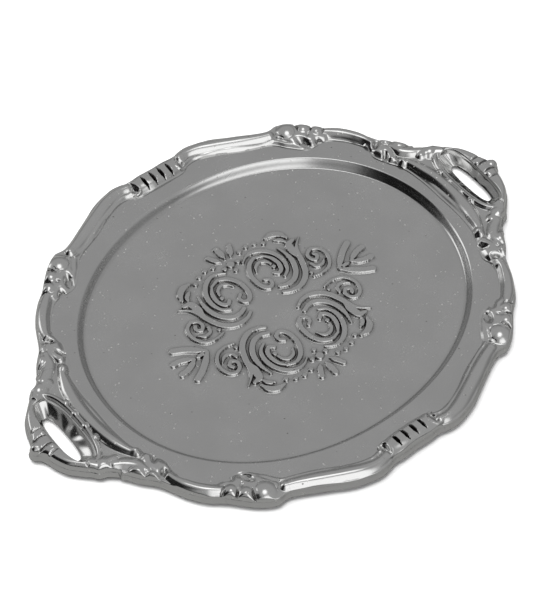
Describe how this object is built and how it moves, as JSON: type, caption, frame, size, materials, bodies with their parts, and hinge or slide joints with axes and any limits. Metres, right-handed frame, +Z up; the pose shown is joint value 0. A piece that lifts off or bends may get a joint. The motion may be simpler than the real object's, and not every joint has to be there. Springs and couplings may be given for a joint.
{
  "type": "vanity tray",
  "caption": "Oval two-handled vanity tray: dished plated sheet with a raised scroll medallion, a cast moulded border and cast loop handles.",
  "frame": {"origin": "on the table under the middle of the tray", "axes": "+X towards one handle, +Y across the tray, +Z up"},
  "size_m": [0.3, 0.2234, 0.0108],
  "materials": {
    "plated_sheet": "polished silver plate, satin with fine scratches and specks",
    "plated_casting": "bright silver plate on cast relief"
  },
  "bodies": {
    "root": {"tray_body": "plated_sheet", "long_moulding_back_right": "plated_casting", "long_moulding_back_left": "plated_casting", "long_moulding_front_left": "plated_casting", "long_moulding_front_right": "plated_casting", "shell_mount_back_right": "plated_casting", "shell_mount_back_left": "plated_casting", "shell_mount_front_left": "plated_casting", "shell_mount_front_right": "plated_casting", "short_moulding_back_right": "plated_casting", "short_moulding_back_left": "plated_casting", "short_moulding_front_left": "plated_casting", "short_moulding_front_right": "plated_casting", "handle_scroll_back_right": "plated_casting", "handle_scroll_back_left": "plated_casting", "handle_scroll_front_left": "plated_casting", "handle_scroll_front_right": "plated_casting", "reeded_mount_back": "plated_casting", "reeded_mount_front": "plated_casting", "handle_left": "plated_casting", "handle_right": "plated_casting"}
  },
  "joints": []
}
